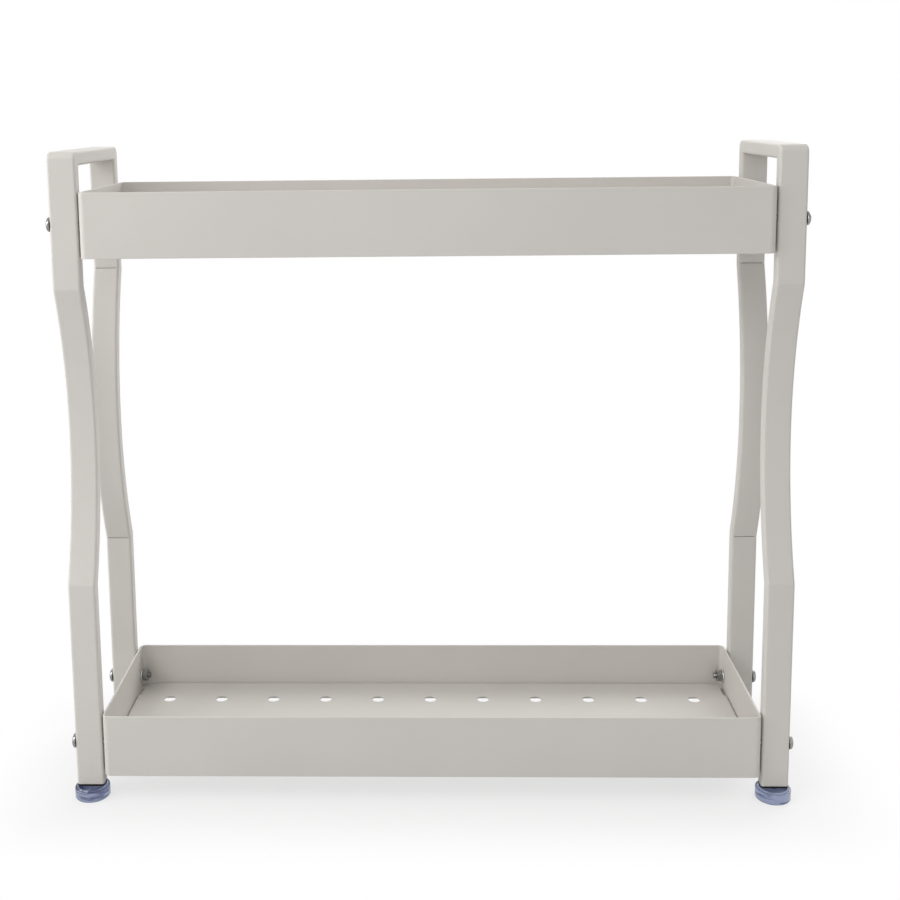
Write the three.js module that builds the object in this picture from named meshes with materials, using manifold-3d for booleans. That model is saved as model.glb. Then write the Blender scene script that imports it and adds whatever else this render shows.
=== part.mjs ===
// Two-tier countertop shelf: two sheet trays bolted between two side frames of folded tube.
// Millimetres, +Z up, front towards -Y. The origin is on the counter, under the middle of the shelf.
import * as THREE from 'three';
import { mergeVertices } from 'three/addons/utils/BufferGeometryUtils.js';
import Module from 'manifold-3d';

const wasm = await Module();
wasm.setup();

// Overall sizes
const SHELF_WIDTH = 420; // across the outer faces of the two side frames
const SHELF_HEIGHT = 383; // from the counter to the top of the carrying bars
const LEG_SPREAD = 95.5; // across the outer faces of a frame's front and back legs

// Clearances
const SEAT_GAP = 0.3; // between faces that meet
const BOLT_PLAY = 0.3; // round a screw in its holes
const RIM_CLEARANCE = 0.15; // from a washer's rim to the rounding of the band's corner
const CUT_MARGIN = 2; // how far a cutter runs past the faces it opens

// Rectangular tube of the side frames
const TUBE_WIDTH = 16; // across the frame's plane
const TUBE_DEPTH = 8; // in the frame's plane
const TUBE_WALL = 1;
const TUBE_CORNER = 1.5;
const UPPER_FOLD_DROP = 17.9; // from the upper tray down to where the legs turn in to the waist
const LOWER_FOLD_HEIGHT = 132; // where they turn upright again
const WAIST_INSET = 17.6; // how far each leg is drawn in at the waist
const BAR_BEND = 4.4; // outer radius where a leg turns into the carrying bar
const FOLD_CREASE = 0.6; // inner radius of the same fold
const SEAM_WIDTH = 0.5; // slit left on the inner face where the notched tube closes
const SEAM_MARGIN = 1.2; // from the slit's ends to the tube's sides
const SEAM_OVERCUT = 0.5; // how far the slit runs past the tube's wall

// Wall band of a tray
const TRAY_END_GAP = 1; // tray end to the frame's inner face
const GRIP_GAP = 14.5; // room for fingers between the upper tray's rim and the carrying bar
const LEG_TAIL = 6.8; // tube left below the lower tray
const BAND_HEIGHT = 37.1;
const BAND_SHEET = 1.2;
const BAND_CORNER = 3.8;
const SHEET_EDGE = 0.3; // softened edge of the coated sheet

// Floor pan set into the band, its flanges folded down
const PAN_SHEET = 1;
const PAN_BEND = 0.8; // inner radius of the fold between floor and flange
const PAN_FLOOR_RISE = 11.2; // top of the floor above the band's lower edge
const FLANGE_DEPTH = 9; // from the top of the floor to a flange's lower edge
const CORNER_TAB = 3; // side of the flat tab at each corner
const LONG_RELIEF = 6; // open slot between a corner tab and a long flange
const END_RELIEF = 15; // open slot between a corner tab and an end flange

// Drain holes in the floor
const HOLE_DIAMETER = 7.5;
const HOLE_COLUMNS = 11;
const HOLE_ROWS = 2;
const HOLE_END_MARGIN = 22.2; // from the pan's ends to the nearest hole centres
const HOLE_SIDE_MARGIN = 23.3; // from its long sides

// Screws, washers and nuts that hold each tray end to the legs
const BOLT_RISE = 19; // bolt axis above the band's lower edge
const BOLT_DIAMETER = 4;
const BOLT_TAIL = 1.9; // screw left past the nut
const BOLT_POINT = 0.5; // chamfer at the screw's end
const HEAD_DIAMETER = 8.6;
const HEAD_HEIGHT = 2.6;
const HEAD_RIM = 0.7; // straight edge below the dome
const RECESS_WIDTH = 1.2;
const RECESS_LENGTH = 4.4;
const RECESS_DEPTH = 1.5;
const WASHER_DIAMETER = 8;
const WASHER_THICKNESS = 0.8;
const NUT_SIDES = 6;
const NUT_FLATS = 7; // across two opposite sides
const NUT_THICKNESS = 3.2;

// Tube end plugs and feet
const FOOT_DIAMETER = 20.5;
const FOOT_HEIGHT = 6.9;
const FOOT_EDGE = 0.9; // rounding of the foot's rims
const FOOT_SHOULDER = 0.8; // the foot's rim below the face that meets the plug
const STEM_DIAMETER = 3.2;
const STEM_LENGTH = 7;
const PLUG_FLANGE = 1.1;
const PLUG_DEPTH = 9; // how far the plug reaches into the tube

// Fineness of round forms
const WAIST_STEPS = 12; // along the waist of a leg
const BEND_STEPS = 4; // round a fold or a corner
const EDGE_STEPS = 2; // round a small edge
const CHAMFER_STEPS = 1; // along a flat softened edge
const ROUND_SIDES = 12;
const FOOT_SIDES = 20;
const DOME_STEPS = 3;

// Places worked out from the sizes above
const FRAME_X = SHELF_WIDTH / 2 - TUBE_WIDTH / 2;
const LEG_Y = LEG_SPREAD / 2 - TUBE_DEPTH / 2;
const PLUG_BASE = FOOT_HEIGHT + SEAT_GAP;
const TUBE_END = PLUG_BASE + PLUG_FLANGE + SEAT_GAP;
const LOWER_TRAY_BASE = TUBE_END + LEG_TAIL; // height of the band's lower edge
const UPPER_TRAY_BASE = SHELF_HEIGHT - TUBE_DEPTH - GRIP_GAP - BAND_HEIGHT;
const UPPER_FOLD_HEIGHT = UPPER_TRAY_BASE - UPPER_FOLD_DROP;
const TRAY_LENGTH = SHELF_WIDTH - 2 * (TUBE_WIDTH + TRAY_END_GAP);
const BOLT_HOLE_RADIUS = BOLT_DIAMETER / 2 + BOLT_PLAY;
const BAND_INNER_CORNER = BAND_CORNER - BAND_SHEET;
// How far a washer's rim may reach over the rounding of the band's corner
const WASHER_ROOM = Math.sqrt(BAND_INNER_CORNER ** 2 - (BAND_INNER_CORNER - SEAT_GAP + RIM_CLEARANCE) ** 2);
const TRAY_DEPTH = 2 * (LEG_Y + WASHER_DIAMETER / 2 - WASHER_ROOM + BAND_CORNER);
const PAN_CORNER = BAND_INNER_CORNER - SEAT_GAP;
const PAN_OUTER_X = TRAY_LENGTH / 2 - BAND_SHEET - SEAT_GAP;
const PAN_OUTER_Y = TRAY_DEPTH / 2 - BAND_SHEET - SEAT_GAP;
const PAN_FOLD = PAN_BEND + PAN_SHEET; // outer radius of a fold
const PAN_FLAT_X = PAN_OUTER_X - PAN_FOLD;
const PAN_FLAT_Y = PAN_OUTER_Y - PAN_FOLD;
const LONG_FLANGE_HALF = PAN_OUTER_X - CORNER_TAB - LONG_RELIEF;
const END_FLANGE_HALF = PAN_OUTER_Y - CORNER_TAB - END_RELIEF;
const WASHER_X = TRAY_LENGTH / 2 - BAND_SHEET - SEAT_GAP;
const NUT_X = WASHER_X - WASHER_THICKNESS - SEAT_GAP;
const NUT_END_X = NUT_X - NUT_THICKNESS;
const HEAD_X = SHELF_WIDTH / 2 + SEAT_GAP;
const BOLT_LENGTH = HEAD_X - NUT_END_X + BOLT_TAIL;

const MATERIALS = {
  coat: { color: 0xd3cec7, roughness: 0.55, metalness: 0 },
  plated: { color: 0xb9bcbf, roughness: 0.3, metalness: 1 },
  plug: { color: 0x141414, roughness: 0.6, metalness: 0 },
  clear: { color: 0xb4c0dc, roughness: 0.1, metalness: 0, transparent: true, opacity: 0.6 },
};

// Shape helpers

function solidOf(geometry) {
  const bare = geometry.index ? geometry.toNonIndexed() : geometry.clone();
  bare.deleteAttribute('normal');
  bare.deleteAttribute('uv');
  const merged = mergeVertices(bare);
  const mesh = new wasm.Mesh({
    numProp: 3,
    vertProperties: new Float32Array(merged.attributes.position.array),
    triVerts: new Uint32Array(merged.index.array),
  });
  return new wasm.Manifold(mesh);
}

function geometryOf(solid) {
  const mesh = solid.getMesh();
  const geometry = new THREE.BufferGeometry();
  geometry.setAttribute('position', new THREE.BufferAttribute(mesh.vertProperties, 3));
  geometry.setIndex(new THREE.BufferAttribute(mesh.triVerts, 1));
  geometry.computeVertexNormals();
  return geometry;
}

function cutAll(solid, cutters) {
  return cutters.reduce((rest, cutter) => rest.subtract(cutter), solid);
}

function arcPoints(x, y, radius, from, to, steps) {
  return new THREE.EllipseCurve(x, y, radius, radius, from, to, from > to).getPoints(steps);
}

function roundedRectangle(halfX, halfY, radius, Kind = THREE.Shape) {
  const x = halfX - radius;
  const y = halfY - radius;
  const quarter = Math.PI / 2;
  return new Kind([
    ...arcPoints(x, y, radius, 0, quarter, BEND_STEPS),
    ...arcPoints(-x, y, radius, quarter, 2 * quarter, BEND_STEPS),
    ...arcPoints(-x, -y, radius, 2 * quarter, 3 * quarter, BEND_STEPS),
    ...arcPoints(x, -y, radius, 3 * quarter, 4 * quarter, BEND_STEPS),
  ]);
}

function prism(shape, height, base = 0) {
  const geometry = new THREE.ExtrudeGeometry(shape, { depth: height, bevelEnabled: false });
  return solidOf(geometry.translate(0, 0, base));
}

function softPrism(shape, height, edge, steps) {
  const geometry = new THREE.ExtrudeGeometry(shape, {
    depth: height - 2 * edge,
    bevelThickness: edge,
    bevelSize: edge,
    bevelOffset: -edge,
    bevelSegments: steps,
  });
  return geometry.translate(0, 0, edge);
}

function block(sizeX, sizeY, sizeZ, x, y, z) {
  return solidOf(new THREE.BoxGeometry(sizeX, sizeY, sizeZ).translate(x, y, z));
}

// A round bar along X, from fromX to toX
function barAlongX(radius, fromX, toX, y, z) {
  const geometry = new THREE.CylinderGeometry(radius, radius, toX - fromX, ROUND_SIDES).rotateZ(Math.PI / 2);
  return solidOf(geometry.translate((fromX + toX) / 2, y, z));
}

// Side frame: one notched and folded rectangular tube

// The waist's arc on the face that lies `offset` inside the legs' outer faces
function waistArc(offset) {
  const halfHeight = (UPPER_FOLD_HEIGHT - LOWER_FOLD_HEIGHT) / 2;
  const outerRadius = (halfHeight ** 2 + WAIST_INSET ** 2) / (2 * WAIST_INSET);
  const radius = outerRadius + offset;
  return {
    radius,
    centreY: LEG_SPREAD / 2 - WAIST_INSET + outerRadius,
    middle: (UPPER_FOLD_HEIGHT + LOWER_FOLD_HEIGHT) / 2,
    angle: Math.acos(1 - WAIST_INSET / radius),
  };
}

// Points up one face of the front leg, from the tube's end to the carrying bar, as depth and height
function legFace(offset, bend, end) {
  const arc = waistArc(offset);
  const y = LEG_SPREAD / 2 - offset;
  const top = SHELF_HEIGHT - offset;
  return [
    new THREE.Vector2(-y, end),
    ...arcPoints(-arc.centreY, arc.middle, arc.radius, -arc.angle, arc.angle, WAIST_STEPS),
    ...arcPoints(bend - y, top - bend, bend, Math.PI, Math.PI / 2, BEND_STEPS),
  ];
}

// Outline of the tube's run, drawn in from both faces by `inset`
function frameOutline(inset, end) {
  const toBack = (points) => points.map((point) => new THREE.Vector2(-point.x, point.y));
  const outer = legFace(inset, BAR_BEND - inset, end);
  const inner = legFace(TUBE_DEPTH - inset, FOLD_CREASE + inset, end);
  return new THREE.Shape([...outer, ...toBack(outer).reverse(), ...toBack(inner), ...inner.reverse()]);
}

// Turns a shape drawn in depth and height so that it is extruded across the frame, centred on X = 0
function acrossFrame(geometry, width) {
  const turn = new THREE.Matrix4().makeBasis(
    new THREE.Vector3(0, 1, 0),
    new THREE.Vector3(0, 0, 1),
    new THREE.Vector3(1, 0, 0),
  );
  return solidOf(geometry.translate(0, 0, -width / 2).applyMatrix4(turn));
}

// Corners of the folds on one face of the front leg, as depth and height
function foldCorners(offset) {
  const arc = waistArc(offset);
  const y = offset - LEG_SPREAD / 2;
  const reach = arc.radius * Math.sin(arc.angle);
  return [
    new THREE.Vector2(y, arc.middle - reach),
    new THREE.Vector2(y, arc.middle + reach),
    new THREE.Vector2(y, SHELF_HEIGHT - offset),
  ];
}

// Slits on the inner faces, each along the line where its fold closes
function foldSeams() {
  const outerCorners = foldCorners(0);
  const length = TUBE_WIDTH - 2 * SEAM_MARGIN;
  const depth = TUBE_WALL + SEAM_OVERCUT;
  return foldCorners(TUBE_DEPTH).flatMap((inner, fold) => {
    const direction = outerCorners[fold].clone().sub(inner);
    return [1, -1].map((side) => {
      const slit = new THREE.BoxGeometry(length, 2 * depth, SEAM_WIDTH);
      slit.rotateX(side * direction.angle());
      return solidOf(slit.translate(0, side * inner.x, inner.y));
    });
  });
}

function boltHeights() {
  return [UPPER_TRAY_BASE + BOLT_RISE, LOWER_TRAY_BASE + BOLT_RISE];
}

function sideFrame() {
  const spare = 2 * TUBE_CORNER;
  const run = softPrism(frameOutline(0, TUBE_END - spare), TUBE_WIDTH, TUBE_CORNER, EDGE_STEPS);
  const tube = acrossFrame(run, TUBE_WIDTH);
  const boreWidth = TUBE_WIDTH - 2 * TUBE_WALL;
  const boreCorner = TUBE_CORNER - TUBE_WALL;
  const boreRun = frameOutline(TUBE_WALL, TUBE_END - 2 * spare);
  const hollow = softPrism(boreRun, boreWidth, boreCorner, CHAMFER_STEPS);
  const bore = acrossFrame(hollow, boreWidth);
  const belowEnds = block(2 * TUBE_WIDTH, 2 * LEG_SPREAD, 2 * spare, 0, 0, TUBE_END - spare);
  const holes = boltHeights().flatMap((z) => [LEG_Y, -LEG_Y].map(
    (y) => barAlongX(BOLT_HOLE_RADIUS, -TUBE_WIDTH, TUBE_WIDTH, y, z),
  ));
  return cutAll(tube, [bore, belowEnds, ...foldSeams(), ...holes]);
}

// Tray: a wall band with a folded floor pan inside it, both drawn with the band's lower edge at height 0

function trayBoltHoles() {
  return [1, -1].flatMap((end) => [LEG_Y, -LEG_Y].map((y) => {
    const inside = end * (NUT_X - CUT_MARGIN);
    const outside = end * (TRAY_LENGTH / 2 + CUT_MARGIN);
    return barAlongX(BOLT_HOLE_RADIUS, Math.min(inside, outside), Math.max(inside, outside), y, BOLT_RISE);
  }));
}

function trayBand() {
  const outline = roundedRectangle(TRAY_LENGTH / 2, TRAY_DEPTH / 2, BAND_CORNER);
  const innerX = TRAY_LENGTH / 2 - BAND_SHEET;
  const innerY = TRAY_DEPTH / 2 - BAND_SHEET;
  outline.holes.push(roundedRectangle(innerX, innerY, BAND_INNER_CORNER, THREE.Path));
  return cutAll(solidOf(softPrism(outline, BAND_HEIGHT, SHEET_EDGE, CHAMFER_STEPS)), trayBoltHoles());
}

// Section of a flange and its fold: x runs outwards from the end of the flat floor, y is the height
function flangeSection() {
  const centre = PAN_FLOOR_RISE - PAN_FOLD;
  const lowerEdge = PAN_FLOOR_RISE - FLANGE_DEPTH;
  return new THREE.Shape([
    new THREE.Vector2(-PAN_SHEET, PAN_FLOOR_RISE - PAN_SHEET),
    ...arcPoints(0, centre, PAN_BEND, Math.PI / 2, 0, BEND_STEPS),
    new THREE.Vector2(PAN_BEND, lowerEdge),
    new THREE.Vector2(PAN_FOLD, lowerEdge),
    ...arcPoints(0, centre, PAN_FOLD, 0, Math.PI / 2, BEND_STEPS),
    new THREE.Vector2(-PAN_SHEET, PAN_FLOOR_RISE),
  ]);
}

// A flange of the given half length that hangs `reach` from the middle and faces the direction `turn`
function flange(halfLength, reach, turn) {
  const upright = new THREE.Matrix4().makeBasis(
    new THREE.Vector3(1, 0, 0),
    new THREE.Vector3(0, 0, 1),
    new THREE.Vector3(0, -1, 0),
  );
  const geometry = new THREE.ExtrudeGeometry(flangeSection(), { depth: 2 * halfLength, bevelEnabled: false });
  geometry.translate(0, 0, -halfLength).applyMatrix4(upright);
  return solidOf(geometry.translate(reach, 0, 0).rotateZ(turn));
}

// The flat floor with its four corner tabs; the slots beside the tabs are the bend reliefs
function floorPlate() {
  const base = PAN_FLOOR_RISE - PAN_SHEET;
  const flat = block(2 * PAN_FLAT_X, 2 * PAN_FLAT_Y, PAN_SHEET, 0, 0, base + PAN_SHEET / 2);
  const whole = prism(roundedRectangle(PAN_OUTER_X, PAN_OUTER_Y, PAN_CORNER), PAN_SHEET, base);
  const cutX = 2 * PAN_OUTER_X + CUT_MARGIN;
  const cutY = 2 * PAN_OUTER_Y + CUT_MARGIN;
  const cutZ = PAN_SHEET + CUT_MARGIN;
  const betweenTabs = [
    block(cutX, 2 * (PAN_OUTER_Y - CORNER_TAB), cutZ, 0, 0, base),
    block(2 * (PAN_OUTER_X - CORNER_TAB), cutY, cutZ, 0, 0, base),
  ];
  return flat.add(cutAll(whole, betweenTabs));
}

function drainHoles() {
  const spanX = 2 * (PAN_OUTER_X - HOLE_END_MARGIN);
  const spanY = 2 * (PAN_OUTER_Y - HOLE_SIDE_MARGIN);
  const holes = [];
  for (let column = 0; column < HOLE_COLUMNS; column += 1) {
    for (let row = 0; row < HOLE_ROWS; row += 1) {
      const x = spanX * (column / (HOLE_COLUMNS - 1) - 0.5);
      const y = spanY * (row / (HOLE_ROWS - 1) - 0.5);
      const radius = HOLE_DIAMETER / 2;
      const drill = new THREE.CylinderGeometry(radius, radius, PAN_SHEET + CUT_MARGIN, ROUND_SIDES);
      holes.push(solidOf(drill.rotateX(Math.PI / 2).translate(x, y, PAN_FLOOR_RISE - PAN_SHEET / 2)));
    }
  }
  return holes;
}

function floorPan() {
  const flanges = [
    flange(END_FLANGE_HALF, PAN_FLAT_X, 0),
    flange(LONG_FLANGE_HALF, PAN_FLAT_Y, Math.PI / 2),
    flange(END_FLANGE_HALF, PAN_FLAT_X, Math.PI),
    flange(LONG_FLANGE_HALF, PAN_FLAT_Y, -Math.PI / 2),
  ];
  const folded = flanges.reduce((pan, piece) => pan.add(piece), floorPlate());
  return cutAll(folded, drainHoles());
}

// Fasteners, drawn along +X with the bearing face at X = 0

function revolveAlongX(points, sides) {
  return solidOf(new THREE.LatheGeometry(points, sides).rotateZ(-Math.PI / 2));
}

function screw() {
  const domeRise = HEAD_HEIGHT - HEAD_RIM;
  const headRadius = HEAD_DIAMETER / 2;
  const shankRadius = BOLT_DIAMETER / 2;
  const points = [
    new THREE.Vector2(0, -BOLT_LENGTH),
    new THREE.Vector2(shankRadius - BOLT_POINT, -BOLT_LENGTH),
    new THREE.Vector2(shankRadius, BOLT_POINT - BOLT_LENGTH),
    new THREE.Vector2(shankRadius, 0),
    new THREE.Vector2(headRadius, 0),
  ];
  for (let step = 0; step < DOME_STEPS; step += 1) {
    const angle = (step / DOME_STEPS) * (Math.PI / 2);
    points.push(new THREE.Vector2(headRadius * Math.cos(angle), HEAD_RIM + domeRise * Math.sin(angle)));
  }
  points.push(new THREE.Vector2(0, HEAD_HEIGHT));
  const recessX = HEAD_HEIGHT - RECESS_DEPTH / 2 + CUT_MARGIN / 2;
  const recessReach = RECESS_DEPTH + CUT_MARGIN;
  return cutAll(revolveAlongX(points, ROUND_SIDES), [
    block(recessReach, RECESS_WIDTH, RECESS_LENGTH, recessX, 0, 0),
    block(recessReach, RECESS_LENGTH, RECESS_WIDTH, recessX, 0, 0),
  ]);
}

function washer() {
  const inner = BOLT_HOLE_RADIUS;
  const outer = WASHER_DIAMETER / 2;
  const points = [
    new THREE.Vector2(inner, -WASHER_THICKNESS),
    new THREE.Vector2(outer, -WASHER_THICKNESS),
    new THREE.Vector2(outer, 0),
    new THREE.Vector2(inner, 0),
    new THREE.Vector2(inner, -WASHER_THICKNESS),
  ];
  return revolveAlongX(points, ROUND_SIDES);
}

function nut() {
  const cornerRadius = NUT_FLATS / 2 / Math.cos(Math.PI / NUT_SIDES);
  const hexagon = new THREE.CylinderGeometry(cornerRadius, cornerRadius, NUT_THICKNESS, NUT_SIDES);
  const body = solidOf(hexagon.rotateZ(Math.PI / 2).translate(-NUT_THICKNESS / 2, 0, 0));
  const bore = barAlongX(BOLT_HOLE_RADIUS, -NUT_THICKNESS - CUT_MARGIN, CUT_MARGIN, 0, 0);
  return body.subtract(bore);
}

// Tube end plug and foot, drawn on the leg's axis at their real heights

function plug() {
  const stemHole = STEM_DIAMETER / 2 + SEAT_GAP;
  const insertX = TUBE_WIDTH / 2 - TUBE_WALL - SEAT_GAP;
  const insertY = TUBE_DEPTH / 2 - TUBE_WALL - SEAT_GAP;
  const insertOutline = roundedRectangle(insertX, insertY, TUBE_CORNER - TUBE_WALL);
  const flangeOutline = roundedRectangle(TUBE_WIDTH / 2, TUBE_DEPTH / 2, TUBE_CORNER);
  const height = PLUG_FLANGE + SEAT_GAP + PLUG_DEPTH;
  const body = prism(flangeOutline, PLUG_FLANGE, PLUG_BASE).add(prism(insertOutline, height, PLUG_BASE));
  const drillLength = height + 2 * CUT_MARGIN;
  const drill = new THREE.CylinderGeometry(stemHole, stemHole, drillLength, ROUND_SIDES).rotateX(Math.PI / 2);
  return body.subtract(solidOf(drill.translate(0, 0, PLUG_BASE + height / 2)));
}

function foot() {
  const radius = FOOT_DIAMETER / 2;
  const stem = STEM_DIAMETER / 2;
  const landing = Math.hypot(TUBE_WIDTH, TUBE_DEPTH) / 2 - FOOT_EDGE;
  const shoulder = radius - 2 * FOOT_EDGE;
  const points = [new THREE.Vector2(0, 0)];
  const corner = (heightOfCentre, fromAngle) => {
    for (let step = 0; step <= EDGE_STEPS; step += 1) {
      const angle = fromAngle + (step / EDGE_STEPS) * (Math.PI / 2);
      const x = radius - FOOT_EDGE + FOOT_EDGE * Math.cos(angle);
      points.push(new THREE.Vector2(x, heightOfCentre + FOOT_EDGE * Math.sin(angle)));
    }
  };
  corner(FOOT_EDGE, -Math.PI / 2);
  corner(FOOT_HEIGHT - FOOT_SHOULDER - FOOT_EDGE, 0);
  points.push(
    new THREE.Vector2(shoulder, FOOT_HEIGHT - FOOT_SHOULDER),
    new THREE.Vector2(landing, FOOT_HEIGHT),
    new THREE.Vector2(stem, FOOT_HEIGHT),
    new THREE.Vector2(stem, FOOT_HEIGHT + STEM_LENGTH),
    new THREE.Vector2(0, FOOT_HEIGHT + STEM_LENGTH),
  );
  return solidOf(new THREE.LatheGeometry(points, FOOT_SIDES).rotateX(Math.PI / 2));
}

// Assembly: each piece is a mesh of its own

const shelf = new THREE.Group();

function addPiece(parent, name, solid, material, x = 0, y = 0, z = 0) {
  const mesh = new THREE.Mesh(geometryOf(solid), new THREE.MeshStandardMaterial(MATERIALS[material]));
  mesh.name = name;
  mesh.position.set(x, y, z);
  parent.add(mesh);
}

const SIDES = [['left', -1], ['right', 1]];
const ROWS = [['front', -1], ['back', 1]];
const TIERS = [['upper', UPPER_TRAY_BASE], ['lower', LOWER_TRAY_BASE]];

for (const [side, sign] of SIDES) {
  addPiece(shelf, `${side}_side_frame`, sideFrame(), 'coat', sign * FRAME_X);
}

for (const [tier, base] of TIERS) {
  addPiece(shelf, `${tier}_tray_band`, trayBand(), 'coat', 0, 0, base);
  addPiece(shelf, `${tier}_tray_floor_pan`, floorPan(), 'coat', 0, 0, base);
}

for (const [tier, base] of TIERS) {
  for (const [side, sign] of SIDES) {
    for (const [row, depthSign] of ROWS) {
      const label = `${tier}_${side}_${row}`;
      const fasteners = new THREE.Group();
      addPiece(fasteners, `screw_${label}`, screw(), 'plated', HEAD_X);
      addPiece(fasteners, `washer_${label}`, washer(), 'plated', WASHER_X);
      addPiece(fasteners, `nut_${label}`, nut(), 'plated', NUT_X);
      fasteners.position.set(0, depthSign * LEG_Y, base + BOLT_RISE);
      fasteners.rotation.z = sign < 0 ? Math.PI : 0;
      shelf.add(fasteners);
    }
  }
}

for (const [side, sign] of SIDES) {
  for (const [row, depthSign] of ROWS) {
    addPiece(shelf, `tube_plug_${side}_${row}`, plug(), 'plug', sign * FRAME_X, depthSign * LEG_Y);
    addPiece(shelf, `foot_${side}_${row}`, foot(), 'clear', sign * FRAME_X, depthSign * LEG_Y);
  }
}

export default shelf;
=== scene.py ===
"""Looks of the two-tier countertop shelf: fine meshes for its solids, materials and a studio."""
import itertools
import math

import bmesh
import bpy
from mathutils import Matrix, Vector


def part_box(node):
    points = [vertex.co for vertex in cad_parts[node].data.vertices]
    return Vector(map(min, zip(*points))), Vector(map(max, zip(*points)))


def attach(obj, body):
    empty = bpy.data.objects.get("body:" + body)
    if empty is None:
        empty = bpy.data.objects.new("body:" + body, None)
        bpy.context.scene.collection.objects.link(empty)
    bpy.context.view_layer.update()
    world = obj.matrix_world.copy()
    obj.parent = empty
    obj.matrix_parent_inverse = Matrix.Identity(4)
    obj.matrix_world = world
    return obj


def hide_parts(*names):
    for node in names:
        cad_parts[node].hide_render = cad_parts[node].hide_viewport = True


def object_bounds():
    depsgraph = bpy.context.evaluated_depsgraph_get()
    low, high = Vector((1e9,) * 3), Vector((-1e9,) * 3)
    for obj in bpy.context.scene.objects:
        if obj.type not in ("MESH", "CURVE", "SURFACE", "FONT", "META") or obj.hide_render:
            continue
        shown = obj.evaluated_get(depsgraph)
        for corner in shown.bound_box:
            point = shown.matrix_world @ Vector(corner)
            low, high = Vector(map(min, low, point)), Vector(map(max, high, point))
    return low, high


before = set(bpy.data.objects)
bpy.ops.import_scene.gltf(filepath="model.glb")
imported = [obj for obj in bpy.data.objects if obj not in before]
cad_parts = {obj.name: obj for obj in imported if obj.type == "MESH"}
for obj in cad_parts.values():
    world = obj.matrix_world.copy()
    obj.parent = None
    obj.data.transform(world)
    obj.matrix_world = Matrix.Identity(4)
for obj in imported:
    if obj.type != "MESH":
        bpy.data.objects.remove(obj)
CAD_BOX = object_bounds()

MM = 0.001
QUARTER = math.pi / 2
SIDES = {"left": -1, "right": 1}
ROWS = ("front", "back")
TIERS = ("upper", "lower")

# Side frame, in mm; its overall sizes are read from the solids
TUBE_CORNER = 1.5
TUBE_WALL = 1.0
UPPER_FOLD_DROP = 17.9  # from the upper tray down to the fold
LOWER_FOLD_HEIGHT = 132.0
WAIST_INSET = 17.6
BAR_BEND = 4.4
FOLD_CREASE = 0.6
FOLD_EASE = 1.1  # length of the small rounding on the outer side of a fold
SEAM_WIDTH = 0.5
SEAM_DEPTH = 0.8
SEAM_MARGIN = 0.1  # from a seam's end to the tube's rounded edge

# Shares of the bar's bend at which sections stand: before its seam, at the seam's ends, after it
BAR_BEFORE_SEAM = (0, 1 / 8)
BAR_SEAM = (1 / 4, 3 / 4)
BAR_AFTER_SEAM = (7 / 8, 1)

# Tray band and floor pan, in mm
BAND_SHEET = 1.2
BAND_CORNER = 3.8
BAND_EDGE = 0.35
PAN_SHEET = 1.0
PAN_BEND = 0.2
PAN_EDGE = 0.3
SEAT_GAP = 0.3  # between pieces that meet
LONG_TAB = 3.0  # corner tab along the long side
END_TAB = 6.0  # corner tab along the end
TAB_CHAMFER = 2.8
LONG_RELIEF = 6.0
LONG_RELIEF_DEPTH = 1.8
END_RELIEF = 12.0
END_RELIEF_DEPTH = 2.2
HOLE_DIAMETER = 7.5
HOLE_COLUMNS = 11
HOLE_ROWS = 2
HOLE_END_MARGIN = 22.2
HOLE_SIDE_MARGIN = 23.3
HOLE_EDGE = 0.2
MERGE_DISTANCE = 1e-4  # joins the flanges to the floor they grow from

# Fasteners, in mm
HEAD_HEIGHT = 2.6
HEAD_RIM = 0.7
RECESS_WIDTH = 1.1
RECESS_LENGTH = 4.4
RECESS_DEPTH = 1.5
RECESS_FLOOR = 0.5  # share of the recess's length that is left at its floor
RECESS_MOUTH = 1.5  # the same share above the head, where the cutter ends
SHANK_RADIUS = 2.0
THREAD_PITCH = 0.7
THREAD_DEPTH = 0.38
THREAD_LENGTH = 6.0
BORE_RADIUS = 2.2
DRILL_REACH = 16.0  # half the length of a hole's cutter
NUT_CHAMFER = math.radians(30)
NUT_LAND = 0.97  # share of the width across flats that the flat end face has
SMALL_EDGE = 0.15
FIRST_TWIST = math.radians(23)  # how the screws' recesses happen to stand
TWIST_STEP = math.radians(47)

# Plug and foot, in mm
PLUG_FLANGE = 1.1
PLUG_EDGE = 0.2
PLUG_LEAD = 1.0  # height of the insert's tapered end
PLUG_TAPER = 0.4
PLUG_CORNER = 0.3  # least rounding of its outline
FOOT_EDGE = 0.6
FOOT_SHOULDER = 0.8
STEM_RADIUS = 1.6

# Fineness
WAIST_STEPS = 40
CORNER_STEPS = 6
BAND_CORNER_STEPS = 12
BEND_STEPS = 6
HOLE_STEPS = 40
ROUND_STEPS = 48
FOOT_STEPS = 96
DOME_STEPS = 8
THREAD_STEPS = 8
SHARP_ANGLE = math.radians(40)

# Materials: a noise is its scale and detail, a bump its strength and its height in mm
NOISE_RANGE = (0.3, 0.7)
TONE_SPREAD = 0.2  # how far from the noise's middle the two tones lie
COAT_CLOUDS = (14, 3)
COAT_GRAIN = (1300, 2)
COAT_TONES = ((0.580, 0.555, 0.522), (0.604, 0.578, 0.544))
COAT_ROUGHNESS = (0.46, 0.58)
COAT_SPECULAR = 0.4
COAT_BUMP = (0.12, 0.06)
STEEL_TARNISH = (420, 4)
STEEL_BUMP = (0.1, 0.05)
STEELS = {  # greys and roughness
    # painted reflection: the screws' grey is darkened to stand in for dark surroundings mirrored in
    # their domes
    "screw_steel_painted_reflection": ((0.20, 0.36), (0.10, 0.22)),
    # painted highlight: the washers' pale grey stands in for a highlight on their faces
    "washer_steel_painted_highlight": ((0.82, 0.94), (0.26, 0.40)),
    # painted shade: the nuts' grey is darkened to stand in for shade mirrored in their facets
    "nut_steel_painted_shade": ((0.26, 0.42), (0.14, 0.24)),
}
BLACK_SKIN = (1800, 2)
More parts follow.
